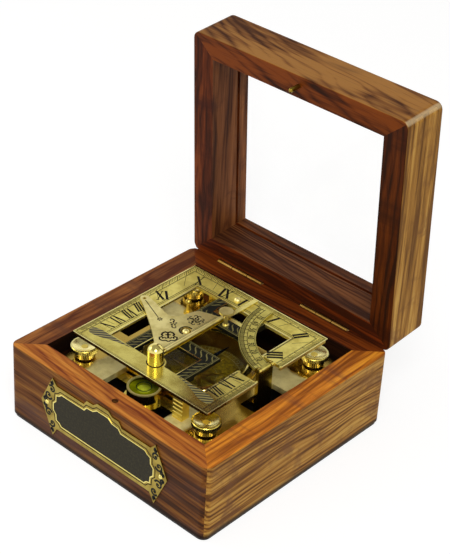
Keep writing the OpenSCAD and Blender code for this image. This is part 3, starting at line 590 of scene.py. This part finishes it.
lines = []
for inset, w in ((0.8, 0.26), (1.25, 0.14), (3.7, 0.24), (4.15, 0.14)):
    lines += along_rails(inset, w)
for y, w in ((-41.4, 0.22), (-40.7, 0.12)):
    lines += ribbon([(-43.2, y), (43.2, y)], w)
for d, w in ((1.4, 0.24), (2.3, 0.3)):
    x0, x1 = LEFT - d, RIGHT + d * 0.5
    lines += ribbon([(x0, NEAR + 0.2), (x0, FAR + d), (x1, FAR + d), (x1, GAP)], w)
    lines += ribbon([(x1, -GAP), (x1, NEAR + 0.2)], w)
laid("frame_lines", "frame", ink, lines, TOP, LINE_T)

# Painted highlight: pale strips laid along the arris of the frame, its window and its gap, for the glint on
# those edges
x, y, gap = HALF_W - 0.2, HALF_D - 0.2, GAP - 0.2
x0, x1, y0, y1 = LEFT + 0.2, RIGHT + 0.2, NEAR + 0.2, FAR + 0.2
glint = [[(-x, -y), (-x, y), (x, y), (x, gap)], [(-x, -y), (x, -y), (x, -gap)],
         [(x0, y0), (x0, y1), (x1, y1), (x1, gap)], [(x1, -gap), (x1, y0)]]
laid("frame_edge_glints", "frame", pale, [q for line in glint for q in ribbon(line, 0.45)], TOP, EDGE_T)

# Painted shade: a dark ring laid on the bar round the foot of the lifting knob, where the knob meets it
laid("knob_foot_shade", "frame", ink, ring(0.6, -31.4, 4.1, 0.5, 48), TOP)

# Two tapering rope-patterned crescents on the front bar
crescent = [(-39.4, -33.0), (-38.2, -32.2), (-34.5, -31.5), (-29, -31.4), (-22, -31.5), (-13.9, -31.35),
            (-19.5, -32.4), (-24.5, -33.6), (-29, -35.2), (-33, -36.7), (-36.2, -37.2), (-38.8, -36.8),
            (-39.8, -35.0)]
band = Mat("rope_filling", Roughness=0.4)
hatch = band.wave(190, band.scaled((1, 0.9, 1), (0, 0, 0.95)), 1.2, 1.0, 1.2)
band.set("Base Color", band.ramp(hatch, (0.42, c(22, 20, 10)), (0.72, c(150, 138, 74))))
band.bump(hatch, 0.3, 0.0001)
laid("rope_crescents", "frame", band.m, [crescent] + resized([crescent], -1), TOP)


def strand(cx, cy, half, step, lengthwise):
    """One S-shaped pale line of the rope, across a band that runs along y if lengthwise, or else along x."""
    pts = []
    for i in range(13):
        t = i / 6 - 1
        u, v = half * t, step * (0.55 * t + 0.16 * sin(pi * t))
        pts.append((cx + u, cy + v) if lengthwise else (cx + v, cy - u))
    return ribbon(pts, lambda s: 0.16 + 0.5 * sin(pi * s))


def rope_bridge(name, half_w, leg, end, inside, outside, strip):
    """Rope and edge lines on a bridge of two legs and a bar.

    leg: a leg's width. end: y of the legs' ends. inside, outside: y of the bar's edges.
    strip: width of the bright strip along the bar's inner edge.
    """
    sgn = 1 if inside > end else -1
    margin, leg_step, bar_step = 1.0, 3.1, 3.3
    strands = []
    for sx in (-1, 1):
        n = int(abs(inside - end) / leg_step)
        for i in range(n):
            y = end + sgn * (i + 0.5) * abs(inside - end) / n
            strands += strand(sx * (half_w - leg / 2), y, leg / 2 - margin, leg_step, True)
    depth = abs(outside - inside) - strip
    n = int(2 * half_w / bar_step)
    for i in range(n):
        x = -half_w + (i + 0.5) * 2 * half_w / n
        if abs(x - NOON_X) > 3:
            strands += strand(x, outside - sgn * depth / 2, depth / 2 - margin, bar_step, False)
    edge = []
    for inset, w in ((0.45, 0.42), (1.2, 0.16)):
        o, y = half_w - inset, outside - sgn * inset
        edge += ribbon([(-o, end), (-o, y), (o, y), (o, end)], w)
    q, y = half_w - leg + 0.35, inside + sgn * 0.3
    inner = ribbon([(-q, end), (-q, y), (q, y), (q, end)], 0.5)
    if strip:
        o = half_w - leg + 0.2
        inner.append([(-o, inside), (o, inside), (o, inside + sgn * strip), (-o, inside + sgn * strip)])
    laid(name + "_strands", "frame", rope, strands, TOP)
    laid(name + "_edges", "frame", rope, edge, TOP)
    laid(name + "_lip", "frame", bright, inner, TOP, EDGE_T)


rope_bridge("front_bridge", half_w=19.75, leg=6.2, end=-31.0, inside=-14.8, outside=-7.2, strip=0)
rope_bridge("back_bridge", half_w=15.4, leg=6.2, end=29.2, inside=21.8, outside=11.6, strip=3.0)


# Ornament of the gnomon: rosettes and scrolls
def scroll(cx, cy, r, start, turn, loops, w):
    pts = []
    for i in range(19):
        s = i / 18
        a = radians(start) + turn * s * loops * 2 * pi
        k = r * (1 - 0.72 * s)
        pts.append((cx + k * cos(a), cy + k * sin(a)))
    return ribbon(pts, lambda s: w * (1.15 - 0.5 * s))


def rosette(cx, cy, r, n, rot):
    petal = ((0.18, 0), (0.5, 0.2), (0.82, 0.24), (1.0, 0.0), (0.82, -0.24), (0.5, -0.2))
    out = []
    for i in range(n):
        a = radians(rot + 360 * i / n)
        ux, uy = cos(a), sin(a)
        out.append([(cx + ux * r * k - uy * r * w, cy + uy * r * k + ux * r * w) for k, w in petal])
    return out + [circle(cx, cy, r * 0.16, 10)]


G_TOP = 51.3  # mm, top of the gnomon
# A rosette in a wreath of nine scrolls
cx, cy, r, rot = -8.4, 5.4, 4.1, 15
orn = rosette(cx, cy, r * 0.5, 6, rot)
for i in range(9):
    a = radians(rot + 40 * i)
    orn += scroll(cx + r * 0.8 * cos(a), cy + r * 0.8 * sin(a), r * 0.3, rot + 40 * i + 200,
                  1 if i % 2 else -1, 0.8, 0.5)
# A fan over two scrolls
fan = [(-1.9, 0.5), (-2.3, 1.5), (-1.9, 2.5), (-0.9, 3.1), (0, 2.6), (0.9, 3.1), (1.9, 2.5), (2.3, 1.5),
       (1.9, 0.5)]
curl = [(0, -3.0), (0.9, -2.2), (2.2, -2.3), (3.2, -1.5), (3.2, -0.3), (2.4, 0.1), (1.8, -0.5), (2.2, -1.1)]
crest = ribbon(fan, 0.75) + ribbon([(0, 2.6), (0, -0.6)], 0.7) + ribbon([(-1.0, 1.3), (1.0, 1.3)], 0.55)
for sx in (-1, 1):
    crest += resized(ribbon(curl, 0.6) + ribbon([(0, -0.6), (0.9, -0.9), (1.3, -0.2)], 0.5), sx)
orn += turned(resized(crest, 1.3, 1.3), (-7.9, -14.2), (-0.72, 0.69))
# A small rosette between two scrolls, and one at the end of the line from the tip
orn += rosette(-20.9, -6.6, 1.5, 6, 10)
orn += rosette(-13.9, -4.4, 2.0, 5, 60)
orn += scroll(-16.4, -3.1, 1.4, 0, 1, 0.8, 0.6) + scroll(-11.6, -6.0, 1.4, 180, 1, 0.8, 0.6)
orn += ribbon([(-37.2, -0.1), (-22.3, -6.2)], 0.42)
# Painted shade: a dark arc round the left side of the hole that clears the domed screw
orn += ribbon(circle(-5.7, -4.3, 3.1, 32, 70, 290), 0.8)
laid("gnomon_ornament", "gnomon", ink, orn, G_TOP)
trim = []
for y0, y1 in ((-22.2, -6.3), (-2.3, 14.4)):
    for x, w in ((-3.1, 0.18), (-3.7, 0.12)):
        trim += ribbon([(x, y0), (x, y1)], w)
laid("gnomon_lines", "gnomon", soft_ink, trim, G_TOP, LINE_T)

# Latitude scale on the arc, in mm and degrees: its top, centre, ends and radii
A_TOP, ARC = 51.2, Vector((47, 38))
A0, A1 = 181.5, 258.0
R_OUT, R_MARK, R_LONG, R_TEXT, R_IN = 41.8, 39.8, 38.2, 36.4, 34.6
STEPS = 76
DIGITS = {"0": [(0, .2), (.1, 0), (.4, 0), (.5, .2), (.5, .8), (.4, 1), (.1, 1), (0, .8), (0, .2)],
          "1": [(.1, .8), (.3, 1), (.3, 0)],
          "2": [(0, .8), (.1, 1), (.4, 1), (.5, .75), (0, 0), (.5, 0)],
          "3": [(0, 1), (.5, 1), (.2, .6), (.5, .4), (.4, 0), (0, 0)],
          "4": [(.4, 0), (.4, 1), (0, .3), (.55, .3)],
          "5": [(.5, 1), (.05, 1), (0, .55), (.4, .6), (.5, .3), (.35, 0), (0, .05)],
          "6": [(.45, 1), (.1, .7), (0, .3), (.15, 0), (.4, 0), (.5, .3), (.35, .5), (.05, .45)],
          "7": [(0, 1), (.5, 1), (.15, 0)]}
scale = []
for r, w in ((R_OUT, 0.3), (R_MARK, 0.24), (R_LONG, 0.3), (R_IN, 0.24)):
    scale += ribbon(circle(ARC.x, ARC.y, r, 72, A0, A1), w)
for i in range(STEPS + 1):
    a = radians(A0 + 1.5 + (A1 - A0 - 6) * i / STEPS)
    d = Vector((cos(a), sin(a)))
    long = i % 5 == 0
    scale += ribbon([ARC + d * R_OUT, ARC + d * (R_LONG if long else R_MARK)], 0.34 if long else 0.27)
    if i % 10 == 0 and 0 < i < STEPS:
        text = str(80 - i)
        for j, ch in enumerate(text):
            flat = [((px - 0.25 + (j - (len(text) - 1) / 2) * 0.85) * 2.0, (py - 0.5) * 2.4)
                    for px, py in DIGITS[ch]]
            scale += turned(ribbon(flat, 0.42), ARC + d * R_TEXT, (-d.x, -d.y))
laid("arc_scale", "arc", ink, scale, A_TOP)

# Compass rose on the card
C_TOP = 26.1  # mm, top of the card


def polar(r, a):
    return (r * sin(a), r * cos(a))


rose = []
for r, w in ((23.4, 0.25), (20.6, 0.3), (9.0, 0.2)):
    rose += ring(0, 0, r, w, 72)
for i in range(72):
    a = radians(5 * i)
    rose += ribbon([polar(23.3, a), polar(20.7 if i % 2 == 0 else 21.9, a)], 0.3)
star = []
for i in range(8):
    a = radians(45 * i)
    for side in (-1, 1):
        star.append([(0, 0), polar(18.5 if i % 2 == 0 else 12.5, a), polar(4.2, a + side * radians(22.5))])
laid("rose_rings", "instrument", rope, rose, C_TOP)
laid("rose_star", "instrument", olive, star[::2], C_TOP)
laid("rose_star_shade", "instrument", dull, star[1::2], C_TOP)

# End of each levelling stem, seen in the dish of its head
SCREW_X, SCREW_Y, DISH = 40.0, 38.0, 40.62  # mm
for k, (sx, sy) in corners.items():
    laid("stem_end_" + k, "head_" + k, gold, [circle(sx * SCREW_X, sy * SCREW_Y, 1.7, 24)], DISH, 0.05)

# Ring engraved on the level's glass
laid("level_circle", "instrument", level_line, ring(0, -37.7, 3.6, 0.5, 40), 38.4, 0.02)

# Label on the front: dark field, gold line and filigree
LABEL_Y, LABEL_Z, LABEL_T = -63.8, 22, 0.7  # mm, its back, its middle and its thickness
half_field = [(0, -8.8), (27.4, -8.8), (29.0, -7.2), (31.0, -6.6), (31.2, -3.4), (33.0, -1.6), (33.0, 2.4),
              (31.2, 4.2), (31.0, 7.6), (29.0, 8.4), (27.4, 9.8), (12.0, 10.0), (10.4, 12.0), (6.2, 12.4),
              (3.6, 14.2), (0, 14.2)]
outline = half_field + [(-x, y) for x, y in reversed(half_field) if abs(x) > 1e-6]


def on_front(p):
    return (p[0], LABEL_Y - p[2], p[1] + LABEL_Z)


def on_label(name, mat, polys, t):
    laid(name, "box", mat, polys, LABEL_T, t, on_front)


on_label("label_field", field, [outline], 0.05)
on_label("label_lip", bright, ribbon(resized([outline], 1.008, 1.02)[0], 0.55, True), 0.14)
on_label("label_groove", ink, ribbon(resized([outline], 1.04, 1.14)[0], 0.45, True), 0.04)
fil = []
for side in (-1, 1):
    for x, y, r, a in ((36.6, 5.4, 2.2, 200), (36.6, -4.9, 2.2, 160), (39.2, 2.4, 1.3, 90),
                       (39.2, -1.6, 1.3, 270), (34.2, 10.0, 1.9, 30), (34.2, -10.2, 1.9, 330),
                       (34.4, 13.6, 1.0, 90), (34.4, -14.0, 1.0, 270)):
        curls = scroll(0, 0, r * 1.12, a, 1 if y > 0 else -1, 1.1, 1.0) + [circle(0, 0, 0.6, 10)]
        fil += [[(side * (x + p[0]), y + p[1]) for p in poly] for poly in curls]
on_label("label_filigree", black, fil, 0.04)


# Stage: a pale floor and world, brighter to the camera and in reflections than as light on the object
def grown(tree, *kinds):
    return [tree.nodes.new("ShaderNode" + k) for k in kinds]


def seen(tree):
    """1 for rays from the camera, from glossy faces and through glass."""
    path, a, b = grown(tree, "LightPath", "Math", "Math")
    a.operation = b.operation = "MAXIMUM"
    tree.links.new(path.outputs["Is Camera Ray"], a.inputs[0])
    tree.links.new(path.outputs["Is Glossy Ray"], a.inputs[1])
    tree.links.new(a.outputs[0], b.inputs[0])
    tree.links.new(path.outputs["Is Transmission Ray"], b.inputs[1])
    return b.outputs[0]


def split(tree, lit, shown, out):
    """lit to light the object, shown to what sees it, into the output node."""
    (mixer,) = grown(tree, "MixShader")
    for k, source in enumerate((seen(tree), lit.outputs[0], shown.outputs[0])):
        tree.links.new(source, mixer.inputs[k])
    tree.links.new(mixer.outputs[0], tree.nodes[out].inputs["Surface"])


HALF_FLOOR, FLOOR_Z = 6.0, -0.00002  # m
floor_mat = bpy.data.materials.new("floor")
floor_mat.use_nodes = True
t = floor_mat.node_tree
t.nodes.remove(t.nodes["Principled BSDF"])
plain, tint, glow, add = grown(t, "BsdfDiffuse", "BsdfDiffuse", "Emission", "AddShader")
plain.inputs["Color"].default_value = (0.72, 0.72, 0.72, 1)
tint.inputs["Color"].default_value = (0.30, 0.30, 0.30, 1)
glow.inputs["Color"].default_value = (1, 1, 1, 1)
glow.inputs["Strength"].default_value = 0.78
t.links.new(tint.outputs[0], add.inputs[0])
t.links.new(glow.outputs[0], add.inputs[1])
split(t, plain, add, "Material Output")
me = bpy.data.meshes.new("floor")
square = ((-1, -1), (1, -1), (1, 1), (-1, 1))
me.from_pydata([(sx * HALF_FLOOR, sy * HALF_FLOOR, FLOOR_Z) for sx, sy in square], [], [(0, 1, 2, 3)])
me.materials.append(floor_mat)
link(me, "floor")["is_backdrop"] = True

world = bpy.data.worlds.new("world")
scene.world = world
world.use_nodes = True
t = world.node_tree
light = t.nodes["Background"]
light.inputs["Color"].default_value = (1.0, 0.985, 0.96, 1)
light.inputs["Strength"].default_value = 0.52
white, height, fall, sky = grown(t, "Background", "SeparateXYZ", "MapRange", "TexCoord")
white.inputs["Color"].default_value = (1, 1, 1, 1)
t.links.new(sky.outputs["Generated"], height.inputs[0])
t.links.new(height.outputs["Z"], fall.inputs[0])
# What reflections see falls from 1.0 to 0.4 while the height that they look at goes from 0.45 to 0.72
for socket, v in zip(fall.inputs[1:5], (0.45, 0.72, 1.0, 0.4)):
    socket.default_value = v
t.links.new(fall.outputs[0], white.inputs["Strength"])
split(t, light, white, "World Output")


def lamp(name, at, size, watts, colour=(1, 1, 1)):
    """A round lamp that shines at the middle of the object."""
    d = bpy.data.lights.new(name, "AREA")
    d.shape = "DISK"
    d.size, d.energy, d.color = size, watts, colour
    o = link(d, name)
    o.location = at
    o.rotation_euler = (Vector((0, 0, 0.05)) - Vector(at)).to_track_quat("-Z", "Y").to_euler()


lamp("key", (0.55, -0.55, 0.95), 0.5, 6.0, (1, 0.98, 0.95))
lamp("fill", (-0.9, -0.4, 0.6), 0.6, 2.0)

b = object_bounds()
